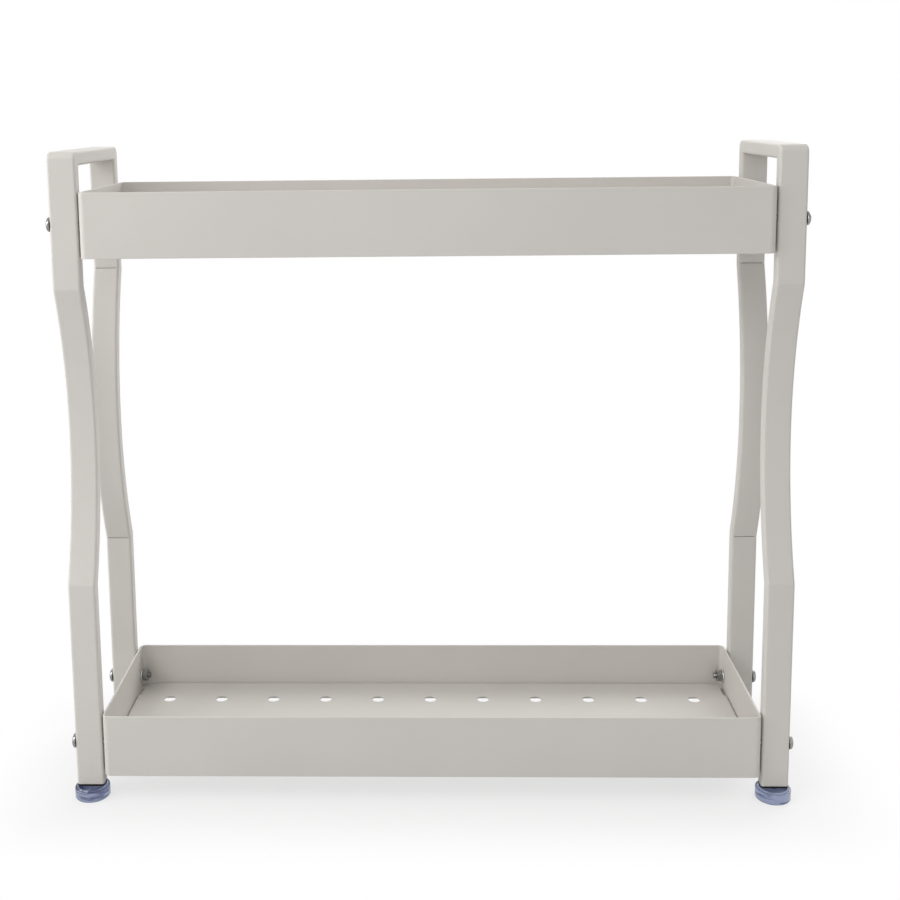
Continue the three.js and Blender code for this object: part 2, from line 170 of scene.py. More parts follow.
BLACK_TONES = ((0.010, 0.010, 0.011), (0.022, 0.022, 0.023))
BLACK_ROUGHNESS = (0.45, 0.65)
BLACK_SPECULAR = 0.15
BLACK_BUMP = (0.15, 0.05)
CLEAR_IOR = 1.5
CLEAR_ROUGHNESS = (0.06, 0.16)
CLEAR_BUMP = (0.3, 0.3)
STREAKS = (1, 2)
STREAK_SCALE = (90, 90, 480)  # the foot's streaks lie level
# painted shade and painted reflections: the foot's tint is darkened and streaked to stand in for
# the shadowed ground and dark plug seen through it
PAINTED_SHADE_STREAK_TONES = ((0.013, 0.019, 0.074), (0.116, 0.155, 0.318))
STREAK_SPREAD = 0.08
# painted shade: the foot's tone is darkened towards its rims, most at the bottom
RIM_PAINTED_SHADE = (  # share of the foot's height, and how much of its tone shows there
    (0.0, 0.3), (0.14, 0.9), (0.5, 1.0), (0.8, 1.0), (1.0, 0.8),
)

# Stage, in metres and watts
FLOOR_SIZE = 12.0
FLOOR_COLOUR = 0.75
FLOOR_ROUGHNESS = 0.9
FLOOR_GLOW_NEAR = 0.68  # share of plain white seen in the floor round the shelf
FLOOR_GLOW_FAR = 1.0
FLOOR_FADE = 0.07  # distance from the shelf's footprint over which the floor turns plain white
WORLD_LIGHT = 0.36
WORLD_LEAN = (0, 0, 0.333)  # how the world's light grows towards +X, +Y and +Z
LAMPS = (  # name, place, size and power; all aim at the middle of the shelf
    ("left", (-1.8, -0.3, 0.5), 1.0, 11.0),
    ("near_left", (-0.65, -0.45, 0.7), 0.4, 2.2),
    ("front", (0, -2.0, 0.8), 0.8, 5.0),
    ("top", (0, -0.15, 1.35), 0.5, 1.4),
    ("back", (0.1, 1.1, 1.3), 1.0, 4.9),
    ("back_right", (0.9, 0.9, 0.75), 0.8, 7.0),
)
LAMP_AIM = (0, 0, 0.2)

# Camera, in pixels, mm and radians. It stands where the photograph's edges put it. Its shift is
# less than an exact fit's, so that other views show the whole shelf; lens and turn are fitted so.
IMAGE_SIZE = 900
FOCAL_PIXELS = 1268.3
PRINCIPAL_POINT = (401.6, 288.0)
CAMERA_PLACE = (6.31, -748.1, 405.5)
CAMERA_YAW = -0.0283
CAMERA_PITCH = 0.1418
CAMERA_ROLL = -0.0116
SENSOR_WIDTH = 36.0


# Mesh helpers

def mix(a, b, share):
    return a + (b - a) * share


def box_mm(node):
    low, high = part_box(node)
    return low / MM, high / MM


def node_centre(node):
    low, high = box_mm(node)
    return (low + high) / 2


def ring_verts(bm, points):
    return [bm.verts.new(point) for point in points]


def join_rings(bm, first, second, closed=True):
    count = len(first)
    for i in range(count if closed else count - 1):
        j = (i + 1) % count
        bm.faces.new((first[i], first[j], second[j], second[i]))


def join_run(bm, rings, closed=False):
    """Joins each ring to the next, and in a closed run the last to the first."""
    for first, second in zip(rings, rings[1:] + rings[:1] if closed else rings[1:]):
        join_rings(bm, first, second)


def join_tip(bm, ring, height):
    tip = bm.verts.new((0, 0, height))
    for first, second in zip(ring, ring[1:] + ring[:1]):
        bm.faces.new((first, second, tip))


def loop_edges(bm, verts):
    pairs = zip(verts, verts[1:] + verts[:1])
    return [bm.edges.get(pair) or bm.edges.new(pair) for pair in pairs]


def full_turn(steps):
    return [2 * math.pi * i / steps for i in range(steps)]


def polar(radius, angle, height):
    return radius * math.cos(angle), radius * math.sin(angle), height


def circle(radius, height, steps=ROUND_STEPS):
    return [polar(radius, angle, height) for angle in full_turn(steps)]


def arc(x, y, radius, start, end, steps):
    angles = (mix(start, end, i / steps) for i in range(steps + 1))
    return [(x + radius * math.cos(a), y + radius * math.sin(a)) for a in angles]


def quarter_turns(x, y):
    """Centres of a rectangle's four corner arcs, and the angle at which each starts."""
    centres = ((x, y), (-x, y), (-x, -y), (x, -y))
    return [(cx, cy, i * QUARTER) for i, (cx, cy) in enumerate(centres)]


def rounded_rectangle(half_x, half_y, radius, steps):
    outline = []
    for x, y, start in quarter_turns(half_x - radius, half_y - radius):
        outline += arc(x, y, radius, start, start + QUARTER, steps)
    return outline


def lathe(profile, steps=ROUND_STEPS):
    """Turns a profile of (radius, height) about Z; off the axis it closes on itself."""
    bm = bmesh.new()
    on_axis = profile[0][0] == 0
    body = profile[1:-1] if on_axis else profile
    rings = [ring_verts(bm, circle(radius, height, steps)) for radius, height in body]
    join_run(bm, rings, closed=not on_axis)
    if on_axis:
        join_tip(bm, rings[0], profile[0][1])
        join_tip(bm, rings[-1], profile[-1][1])
    return bm


def cut(bm, cutter_bm, crossed=False):
    """The first mesh less the second; a crossed cutter's own parts run through one another."""
    objects = []
    for label, source in (("uncut", bm), ("cutter", cutter_bm)):
        mesh = bpy.data.meshes.new(label)
        bmesh.ops.recalc_face_normals(source, faces=source.faces)
        source.to_mesh(mesh)
        objects.append(bpy.data.objects.new(label, mesh))
        bpy.context.scene.collection.objects.link(objects[-1])
    body, cutter = objects
    boolean = body.modifiers.new("cut", "BOOLEAN")
    boolean.operation, boolean.object, boolean.solver = "DIFFERENCE", cutter, "EXACT"
    boolean.use_self = crossed
    result = bmesh.new()
    result.from_object(body, bpy.context.evaluated_depsgraph_get())
    for obj in objects:
        bpy.data.meshes.remove(obj.data)
    return result


def add_piece(name, bm, material, node, placement):
    """Makes a piece of a mesh in mm, shades it and lets it stand for its solid."""
    bmesh.ops.recalc_face_normals(bm, faces=bm.faces)
    mesh = bpy.data.meshes.new(name)
    bm.to_mesh(mesh)
    mesh.transform(Matrix.Scale(MM, 4) @ placement)
    mesh.shade_smooth()
    mesh.set_sharp_from_angle(angle=SHARP_ANGLE)
    mesh.materials.append(material)
    piece = bpy.data.objects.new(name, mesh)
    bpy.context.scene.collection.objects.link(piece)
    weighted = piece.modifiers.new("weighted_normals", "WEIGHTED_NORMAL")
    weighted.keep_sharp = True
    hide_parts(node)
    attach(piece, "root")


# Side frame: a rounded rectangular section carried along the folded run

FRAME_LOW, FRAME_HIGH = box_mm("left_side_frame")
TUBE_WIDTH = FRAME_HIGH.x - FRAME_LOW.x
LEG_SPREAD = FRAME_HIGH.y - FRAME_LOW.y
PLUG_LOW, PLUG_HIGH = box_mm("tube_plug_left_front")
TUBE_DEPTH = PLUG_HIGH.y - PLUG_LOW.y
UPPER_FOLD_HEIGHT = box_mm("upper_tray_band")[0].z - UPPER_FOLD_DROP


def waist(offset):
    """Radius, centre depth, middle height and half angle of the waist, offset from its face."""
    half = (UPPER_FOLD_HEIGHT - LOWER_FOLD_HEIGHT) / 2
    outer = (half ** 2 + WAIST_INSET ** 2) / (2 * WAIST_INSET)
    radius = outer + offset
    centre = LEG_SPREAD / 2 - WAIST_INSET + outer
    middle = (UPPER_FOLD_HEIGHT + LOWER_FOLD_HEIGHT) / 2
    return radius, centre, middle, math.acos(1 - WAIST_INSET / radius)


def on_waist(offset, share):
    radius, centre, middle, half_angle = waist(offset)
    angle = mix(-half_angle, half_angle, share)
    return Vector((radius * math.cos(angle) - centre, middle + radius * math.sin(angle)))


def on_fold(offset, share, end):
    """A place on the rounding of the lower (end -1) or upper (end 1) fold; share runs upwards."""
    radius, _, middle, half_angle = waist(offset)
    corner = Vector((offset - LEG_SPREAD / 2, middle + end * radius * math.sin(half_angle)))
    ease = mix(FOLD_EASE, SEAM_WIDTH / 2, offset / TUBE_DEPTH)
    upright = corner + ease * Vector((0, end))
    drawn_in = corner + ease * Vector((math.sin(half_angle), -end * math.cos(half_angle)))
    below, above = (upright, drawn_in) if end < 0 else (drawn_in, upright)
    return below.lerp(corner, share).lerp(corner.lerp(above, share), share)


def on_bar_bend(offset, share):
    bend = mix(BAR_BEND, FOLD_CREASE, offset / TUBE_DEPTH)
    angle = mix(math.pi, QUARTER, share)
    centre = Vector((offset - LEG_SPREAD / 2 + bend, FRAME_HIGH.z - offset - bend))
    return centre + bend * Vector((math.cos(angle), math.sin(angle)))


def seam_stations(place, start, end):
    """Four stations over a fold. The middle two drop the seam's points into the slit."""
    return [
        (lambda o: place(o, start), None),
        (lambda o: place(o, mix(start, end, 1 / 3)), lambda o: place(o, start)),
        (lambda o: place(o, mix(start, end, 2 / 3)), lambda o: place(o, end)),
        (lambda o: place(o, end), None),
    ]


def leg_stations():
    """Stations up the front leg. Each gives the depth and height of a point from its offset."""
    stations = [(lambda o: Vector((o - LEG_SPREAD / 2, FRAME_LOW.z)), None)]
    stations += seam_stations(lambda o, s: on_fold(o, s, -1), 0, 1)
    stations += [(lambda o, s=i / WAIST_STEPS: on_waist(o, s), None) for i in range(1, WAIST_STEPS)]
    stations += seam_stations(lambda o, s: on_fold(o, s, 1), 0, 1)
    stations += [(lambda o, s=s: on_bar_bend(o, s), None) for s in BAR_BEFORE_SEAM]
    stations += seam_stations(on_bar_bend, *BAR_SEAM)
    stations += [(lambda o, s=s: on_bar_bend(o, s), None) for s in BAR_AFTER_SEAM]
    return stations


def tube_section():
    """Points round the tube: across, offset from the outer face, and whether a seam takes them."""
    half = TUBE_WIDTH / 2
    middle = TUBE_DEPTH / 2
    outline = rounded_rectangle(half, middle, TUBE_CORNER, CORNER_STEPS)
    section = [(a, b + middle, False) for a, b in outline]
    seam = half - TUBE_CORNER - SEAM_MARGIN
    inner_face = [
        (seam, TUBE_DEPTH, False), (seam - SEAM_MARGIN, TUBE_DEPTH, True),
        (SEAM_MARGIN - seam, TUBE_DEPTH, True), (-seam, TUBE_DEPTH, False),
    ]
    return section[:CORNER_STEPS + 1] + inner_face + section[CORNER_STEPS + 1:]


def bore_section():
    half_x, half_y = TUBE_WIDTH / 2 - TUBE_WALL, TUBE_DEPTH / 2 - TUBE_WALL
    outline = rounded_rectangle(half_x, half_y, TUBE_CORNER - TUBE_WALL, CORNER_STEPS)
    return [(a, b + TUBE_DEPTH / 2, False) for a, b in outline]


def sweep(bm, section):
    """Carries a section up one leg, over the bar and down the other; gives the end rings."""
    rings = []
    for turn, stations in ((1, leg_stations()), (-1, reversed(leg_stations()))):
        for place, groove in stations:
            points = []
            for across, offset, in_seam in section:
                spot = groove(offset - SEAM_DEPTH) if in_seam and groove else place(offset)
                points.append((across, turn * spot.x, spot.y))
            rings.append(ring_verts(bm, points))
    join_run(bm, rings)
    return rings[0], rings[-1]


def side_frame():
    bm = bmesh.new()
    for outer, bore in zip(sweep(bm, tube_section()), sweep(bm, bore_section())):
        edges = loop_edges(bm, outer) + loop_edges(bm, bore)
        bmesh.ops.triangle_fill(bm, use_beauty=True, edges=edges)
    return bm


# Tray band: the sheet's section carried round a rounded rectangle

BAND_LOW, BAND_HIGH = box_mm("lower_tray_band")
BAND_HEIGHT = BAND_HIGH.z - BAND_LOW.z


def tray_band():
    bm = bmesh.new()
    half_sheet, half_height = BAND_SHEET / 2, BAND_HEIGHT / 2
    section = rounded_rectangle(half_sheet, half_height, BAND_EDGE, CORNER_STEPS)
    rings = []
    for cx, cy, start in quarter_turns(BAND_HIGH.x - BAND_CORNER, BAND_HIGH.y - BAND_CORNER):
        for step in range(BAND_CORNER_STEPS + 1):
            angle = start + step / BAND_CORNER_STEPS * QUARTER
            points = []
            for across, up in section:
                x, y, z = polar(BAND_CORNER - half_sheet + across, angle, up + half_height)
                points.append((cx + x, cy + y, z))
            rings.append(ring_verts(bm, points))
    join_run(bm, rings, closed=True)
    return bm


# Floor pan: one sheet with holes; its flanges are folded down and relieved beside the corner tabs

PAN_LOW, PAN_HIGH = box_mm("lower_tray_floor_pan")
FLOOR_TOP = PAN_HIGH.z - BAND_LOW.z
FLOOR_BASE = FLOOR_TOP - PAN_SHEET
FLANGE_EDGE = PAN_LOW.z - BAND_LOW.z
PAN_FOLD = PAN_BEND + PAN_SHEET
PAN_FLAT = Vector((PAN_HIGH.x - PAN_FOLD, PAN_HIGH.y - PAN_FOLD))
LONG_FLANGE_HALF = PAN_HIGH.x - LONG_TAB - LONG_RELIEF
END_FLANGE_HALF = PAN_HIGH.y - END_TAB - END_RELIEF


def flange_profile():
    """Reach and height from the floor's upper face over the flange to the floor's lower face."""
    centre = FLOOR_TOP - PAN_FOLD
    edge = FLANGE_EDGE + PAN_EDGE
    return [
        *arc(0, centre, PAN_FOLD, QUARTER, 0, BEND_STEPS),
        *arc(PAN_FOLD - PAN_EDGE, edge, PAN_EDGE, 0, -QUARTER, BEND_STEPS),
        *arc(PAN_BEND + PAN_EDGE, edge, PAN_EDGE, -QUARTER, -2 * QUARTER, BEND_STEPS),
        *arc(0, centre, PAN_BEND, 0, QUARTER, BEND_STEPS),
    ]


def add_flange(bm, place, half_length):
    """A folded flange; place turns along, reach and height into a point."""
    profile = flange_profile()
    ends = [ring_verts(bm, [place(s * half_length, r, h) for r, h in profile]) for s in (-1, 1)]
    join_rings(bm, ends[0], ends[1], closed=False)
    for end in ends:
        bm.faces.new(end)


def corner_outline():
    """The floor's first quarter, from the end flange round the corner tab to the long flange."""
    tab_x, tab_y = PAN_HIGH.x - LONG_TAB, PAN_HIGH.y - END_TAB
    relief_x, relief_y = PAN_HIGH.x - END_RELIEF_DEPTH, PAN_HIGH.y - LONG_RELIEF_DEPTH
    return [
        (PAN_FLAT.x, END_FLANGE_HALF),
        (relief_x, END_FLANGE_HALF),
        (relief_x, tab_y),
        (PAN_HIGH.x, tab_y),
        (PAN_HIGH.x, PAN_HIGH.y - TAB_CHAMFER),
        (PAN_HIGH.x - TAB_CHAMFER, PAN_HIGH.y),
        (tab_x, PAN_HIGH.y),
        (tab_x, relief_y),
        (LONG_FLANGE_HALF, relief_y),
        (LONG_FLANGE_HALF, PAN_FLAT.y),
    ]


def floor_outline():
    """The whole outline, and which of its edges a flange grows from."""
    quarter = corner_outline()
    flipped = quarter[::-1]
    outline, folded = [], []
    for points, sx, sy in ((quarter, 1, 1), (flipped, -1, 1), (quarter, -1, -1), (flipped, 1, -1)):
        outline += [(sx * x, sy * y) for x, y in points]
        folded += [False] * (len(points) - 1) + [True]
    return outline, folded


def hole_centres():
    span_x, span_y = PAN_HIGH.x - HOLE_END_MARGIN, PAN_HIGH.y - HOLE_SIDE_MARGIN
    columns = [mix(-span_x, span_x, i / (HOLE_COLUMNS - 1)) for i in range(HOLE_COLUMNS)]
    rows = [mix(-span_y, span_y, i / (HOLE_ROWS - 1)) for i in range(HOLE_ROWS)]
    return itertools.product(columns, rows)


def hole_rings(bm, x, y):
    """Rings down a drain hole with eased edges; gives the upper and the lower one."""
    mouth = HOLE_DIAMETER / 2 + HOLE_EDGE
    steps = BEND_STEPS // 2
    upper = arc(mouth, FLOOR_TOP - HOLE_EDGE, HOLE_EDGE, QUARTER, 2 * QUARTER, steps)
    lower = arc(mouth, FLOOR_BASE + HOLE_EDGE, HOLE_EDGE, 2 * QUARTER, 3 * QUARTER, steps)
    rings = []
    for radius, height in upper + lower:
        spots = circle(radius, height, HOLE_STEPS)
        rings.append(ring_verts(bm, [(x + along, y + across, z) for along, across, z in spots]))
    join_run(bm, rings)
    return rings[0], rings[-1]


def floor_pan():
    bm = bmesh.new()
    outline, folded = floor_outline()
    top = ring_verts(bm, [(x, y, FLOOR_TOP) for x, y in outline])
    bottom = ring_verts(bm, [(x, y, FLOOR_BASE) for x, y in outline])
    top_edges, bottom_edges = loop_edges(bm, top), loop_edges(bm, bottom)
    for x, y in hole_centres():
        upper, lower = hole_rings(bm, x, y)
        top_edges += loop_edges(bm, upper)
        bottom_edges += loop_edges(bm, lower)
    for edges in (top_edges, bottom_edges):
        bmesh.ops.triangle_fill(bm, use_beauty=True, edges=edges)
    for i, is_folded in enumerate(folded):
        j = (i + 1) % len(outline)
        if not is_folded:
            bm.faces.new((top[i], top[j], bottom[j], bottom[i]))
    for sign in (1, -1):
        add_flange(bm, lambda s, r, h: (sign * (PAN_FLAT.x + r), s, h), END_FLANGE_HALF)
        add_flange(bm, lambda s, r, h: (s, sign * (PAN_FLAT.y + r), h), LONG_FLANGE_HALF)
    bmesh.ops.remove_doubles(bm, verts=bm.verts, dist=MERGE_DISTANCE)
    return bm


# Fasteners, made along +Z with the bearing face at height 0

def cross_cutter():
    """A tapered cross, for a screw's recess."""
    bm = bmesh.new()
    floor = (HEAD_HEIGHT - RECESS_DEPTH, RECESS_FLOOR)
    mouth = (HEAD_HEIGHT + RECESS_DEPTH, RECESS_MOUTH)
    for along_first in (True, False):
        rings = []
        for z, share in (floor, mouth):
            long, short = RECESS_LENGTH * share / 2, RECESS_WIDTH / 2
            x, y = (long, short) if along_first else (short, long)
            rings.append(ring_verts(bm, [(x, y, z), (-x, y, z), (-x, -y, z), (x, -y, z)]))
        join_run(bm, rings)
        for ring in rings:
            bm.faces.new(ring)
    bmesh.ops.recalc_face_normals(bm, faces=bm.faces)
    return bm


def thread_radius(angle, height, tip):
    """The rolled thread's radius; at the screw's tip it is all root."""
    phase = (height / THREAD_PITCH - angle / (2 * math.pi)) % 1.0
    return SHANK_RADIUS - THREAD_DEPTH * (abs(2 * phase - 1) if height > tip else 1.0)


def screw(length, head_radius):
    """A dome-head screw: threaded end, plain shank and head with a cross recess."""
    bm = bmesh.new()
    rings = []
    thread_rings = int(THREAD_LENGTH / THREAD_PITCH * THREAD_STEPS)
    for i in range(thread_rings + 1):
        z = -length + THREAD_LENGTH * i / thread_rings
        spots = [polar(thread_radius(a, z, -length), a, z) for a in full_turn(ROUND_STEPS)]
        rings.append(ring_verts(bm, spots))
    plain = [
        (SHANK_RADIUS, THREAD_LENGTH - length + THREAD_PITCH / 2), (SHANK_RADIUS, 0),
        (head_radius - SMALL_EDGE, 0), (head_radius, SMALL_EDGE),
    ]
    for i in range(DOME_STEPS):
        angle = QUARTER * i / DOME_STEPS
        rise = (HEAD_HEIGHT - HEAD_RIM) * math.sin(angle)
        plain.append((head_radius * math.cos(angle), HEAD_RIM + rise))
    rings += [ring_verts(bm, circle(radius, z)) for radius, z in plain]
    join_run(bm, rings)
    bm.faces.new(rings[0])
    join_tip(bm, rings[-1], HEAD_HEIGHT)
    return cut(bm, cross_cutter(), crossed=True)


def washer(across, thickness):
    edge, radius = SMALL_EDGE, across / 2
    return lathe([
        (BORE_RADIUS, edge), (BORE_RADIUS + edge, 0), (radius - edge, 0), (radius, edge),
        (radius, thickness - edge), (radius - edge, thickness), (BORE_RADIUS + edge, thickness),
        (BORE_RADIUS, thickness - edge),
    ])


def nut(across, thickness):
    """A hexagon nut whose corners are turned down at both ends."""
    bm = bmesh.new()
    turns = full_turn(ROUND_STEPS)
    land = across / 2 * NUT_LAND
    hexagon = [across / 2 / math.cos((a % (math.pi / 3)) - math.pi / 6) for a in turns]
    drop = [(r - land) * math.tan(NUT_CHAMFER) for r in hexagon]
    layers = [
        [(BORE_RADIUS, SMALL_EDGE)] * ROUND_STEPS,
        [(BORE_RADIUS + SMALL_EDGE, 0)] * ROUND_STEPS,
        [(land, 0)] * ROUND_STEPS,
        list(zip(hexagon, drop)),
        [(r, thickness - d) for r, d in zip(hexagon, drop)],
        [(land, thickness)] * ROUND_STEPS,
        [(BORE_RADIUS + SMALL_EDGE, thickness)] * ROUND_STEPS,
        [(BORE_RADIUS, thickness - SMALL_EDGE)] * ROUND_STEPS,
    ]
    rings = []
    for layer in layers:
        rings.append(ring_verts(bm, [polar(r, a, z) for a, (r, z) in zip(turns, layer)]))
    join_run(bm, rings, closed=True)
    return bm


# Plug and foot, made on the leg's axis with their lowest face at height 0

def plug(size):
    """A flange with the tube's outline, and a tapered insert that goes into the tube."""
    bm = bmesh.new()
    inset = TUBE_WALL + SEAT_GAP
    layers = [
        (PLUG_EDGE, 0), (0, PLUG_EDGE), (0, PLUG_FLANGE - PLUG_EDGE), (PLUG_EDGE, PLUG_FLANGE),
        (inset, PLUG_FLANGE), (inset, size.z - PLUG_LEAD), (inset + PLUG_TAPER, size.z),
    ]
    rings = []
    for shrink, height in layers:
        half_x, half_y = size.x / 2 - shrink, size.y / 2 - shrink
        radius = max(TUBE_CORNER - shrink, PLUG_CORNER)
        outline = rounded_rectangle(half_x, half_y, radius, CORNER_STEPS)
        rings.append(ring_verts(bm, [(x, y, height) for x, y in outline]))
    join_run(bm, rings)
    bm.faces.new(rings[0])
    bm.faces.new(rings[-1])
    return bm


def foot(radius, height):
    """A round foot with eased rims, a raised landing under the plug, and a stem."""
    top = PLUG_LOW.z - SEAT_GAP
    rim = top - FOOT_SHOULDER
    landing = math.hypot(TUBE_WIDTH, TUBE_DEPTH) / 2 - FOOT_EDGE
    lower = arc(radius - FOOT_EDGE, FOOT_EDGE, FOOT_EDGE, -QUARTER, 0, CORNER_STEPS)
    upper = arc(radius - FOOT_EDGE, rim - FOOT_EDGE, FOOT_EDGE, 0, QUARTER, CORNER_STEPS)
    return lathe([
        (0, 0), *lower, *upper,
        (radius - 2 * FOOT_EDGE, rim), (landing, top), (STEM_RADIUS, top),
        (STEM_RADIUS, height - SMALL_EDGE), (STEM_RADIUS - SMALL_EDGE, height), (0, height),
    ], FOOT_STEPS)


# Materials

def new_material(name):
    material = bpy.data.materials.new(name)
    material.use_nodes = True
    return material, material.node_tree.nodes, material.node_tree.links


def add_noise(nodes, links, scale, detail, place=None):
    """Noise over the piece's own coordinates, unless another place is given."""
    if place is None:
        place = nodes.new("ShaderNodeTexCoord").outputs["Object"]
    noise = nodes.new("ShaderNodeTexNoise")
    noise.inputs["Scale"].default_value = scale
    noise.inputs["Detail"].default_value = detail
    links.new(place, noise.inputs["Vector"])
    return noise


def add_ramp(nodes, links, source, low, high, spread=TONE_SPREAD):
    """Turns a noise into a colour between two tones."""
    ramp = nodes.new("ShaderNodeValToRGB")
    ramp.color_ramp.elements[0].position = 0.5 - spread
    ramp.color_ramp.elements[1].position = 0.5 + spread
    ramp.color_ramp.elements[0].color = (*low, 1)
    ramp.color_ramp.elements[1].color = (*high, 1)
    links.new(source.outputs["Fac"], ramp.inputs["Fac"])
    return ramp


def add_range(nodes, links, source, low, high):
    span = nodes.new("ShaderNodeMapRange")
    span.inputs["From Min"].default_value = NOISE_RANGE[0]
    span.inputs["From Max"].default_value = NOISE_RANGE[1]
    span.inputs["To Min"].default_value = low
    span.inputs["To Max"].default_value = high
    links.new(source.outputs["Fac"], span.inputs["Value"])
    return span


def add_bump(nodes, links, source, shader, strength, distance):
    bump = nodes.new("ShaderNodeBump")
    bump.inputs["Strength"].default_value = strength
    bump.inputs["Distance"].default_value = distance * MM
    links.new(source.outputs["Fac"], bump.inputs["Height"])
    links.new(bump.outputs["Normal"], shader.inputs["Normal"])


def add_vector_math(nodes, links, operation, source, other=(0, 0, 0)):
    node = nodes.new("ShaderNodeVectorMath")
    node.operation = operation
    links.new(source, node.inputs[0])
    node.inputs[1].default_value = other
    return node


def powder_coat():
    """Satin powder coat: a warm pale grey, faintly clouded, with the fine skin of the powder."""
    material, nodes, links = new_material("powder_coat")
    shader = nodes["Principled BSDF"]
    clouds = add_noise(nodes, links, *COAT_CLOUDS)
    grain = add_noise(nodes, links, *COAT_GRAIN)
    tone = add_ramp(nodes, links, clouds, *COAT_TONES)
    sheen = add_range(nodes, links, grain, *COAT_ROUGHNESS)
    links.new(tone.outputs["Color"], shader.inputs["Base Color"])
    links.new(sheen.outputs["Result"], shader.inputs["Roughness"])
    shader.inputs["Specular IOR Level"].default_value = COAT_SPECULAR
    add_bump(nodes, links, grain, shader, *COAT_BUMP)
    return material


def plated_steel(name):
    """Plated steel whose faint tarnish lies between two greys; the screws' and nuts' greys are
    painted dark for mirrored shade, the washers' painted light for highlight.
    """
    (low, high), roughness = STEELS[name]
    material, nodes, links = new_material(name)
    shader = nodes["Principled BSDF"]
    shader.inputs["Metallic"].default_value = 1
    tarnish = add_noise(nodes, links, *STEEL_TARNISH)
    tone = add_ramp(nodes, links, tarnish, (low, low, low), (high, high, high))
    polish = add_range(nodes, links, tarnish, *roughness)
    links.new(tone.outputs["Color"], shader.inputs["Base Color"])
    links.new(polish.outputs["Result"], shader.inputs["Roughness"])
    add_bump(nodes, links, tarnish, shader, *STEEL_BUMP)
    return material


def black_plastic():
    """Matt moulded plastic with a fine spark-eroded skin."""
    material, nodes, links = new_material("black_plastic")
    shader = nodes["Principled BSDF"]
    skin = add_noise(nodes, links, *BLACK_SKIN)
    tone = add_ramp(nodes, links, skin, *BLACK_TONES)
    sheen = add_range(nodes, links, skin, *BLACK_ROUGHNESS)
    links.new(tone.outputs["Color"], shader.inputs["Base Color"])
    links.new(sheen.outputs["Result"], shader.inputs["Roughness"])
    shader.inputs["Specular IOR Level"].default_value = BLACK_SPECULAR
    add_bump(nodes, links, skin, shader, *BLACK_BUMP)
    return material


def add_painted_rim_shade(nodes, links, place):
    """Painted shade over the foot's height: greys that darken its tone, darkest at its rims."""
    axes = nodes.new("ShaderNodeSeparateXYZ")
    links.new(place, axes.inputs["Vector"])
    height = nodes.new("ShaderNodeMapRange")
    height.inputs["From Max"].default_value = PLUG_LOW.z * MM
    links.new(axes.outputs["Z"], height.inputs["Value"])
    rim_shade = nodes.new("ShaderNodeValToRGB")
    elements = rim_shade.color_ramp.elements
    for position, _ in RIM_PAINTED_SHADE[1:-1]:
        elements.new(position)
    for element, (position, grey) in zip(elements, RIM_PAINTED_SHADE):
        element.position, element.color = position, (grey, grey, grey, 1)
    links.new(height.outputs["Result"], rim_shade.inputs["Fac"])
    return rim_shade


def clear_plastic():
    """Clear soft plastic with a blue cast. Its tint is painted dark, in level streaks of painted
    shade and painted reflection, and darker still at its rims in painted shade.
    """
    material, nodes, links = new_material("clear_plastic")
    shader = nodes["Principled BSDF"]
    shader.inputs["Transmission Weight"].default_value = 1
    shader.inputs["IOR"].default_value = CLEAR_IOR
    place = nodes.new("ShaderNodeTexCoord").outputs["Object"]
    stretch = nodes.new("ShaderNodeMapping")
    stretch.inputs["Scale"].default_value = STREAK_SCALE
    links.new(place, stretch.inputs["Vector"])
    streaks = add_noise(nodes, links, *STREAKS, stretch.outputs["Vector"])
    tone = add_ramp(nodes, links, streaks, *PAINTED_SHADE_STREAK_TONES, STREAK_SPREAD)
    # painted shade at the rims darkens the foot's tint
    rim_shade = add_painted_rim_shade(nodes, links, place)
    tint = add_vector_math(nodes, links, "MULTIPLY", tone.outputs["Color"])
    links.new(rim_shade.outputs["Color"], tint.inputs[1])
    links.new(tint.outputs["Vector"], shader.inputs["Base Color"])
    haze = add_range(nodes, links, streaks, *CLEAR_ROUGHNESS)
    links.new(haze.outputs["Result"], shader.inputs["Roughness"])
    add_bump(nodes, links, streaks, shader, *CLEAR_BUMP)
    return material


# Stage: floor, world, lamps and camera

def seen_directly(nodes, links):
    """1 for rays that show the background, straight, in a reflection or through something clear."""
    path = nodes.new("ShaderNodeLightPath")
    total = path.outputs["Is Camera Ray"]
    for name in ("Is Glossy Ray", "Is Transmission Ray"):
        larger = nodes.new("ShaderNodeMath")
        larger.operation = "MAXIMUM"
        links.new(total, larger.inputs[0])
        links.new(path.outputs[name], larger.inputs[1])
        total = larger.outputs[0]
    return total


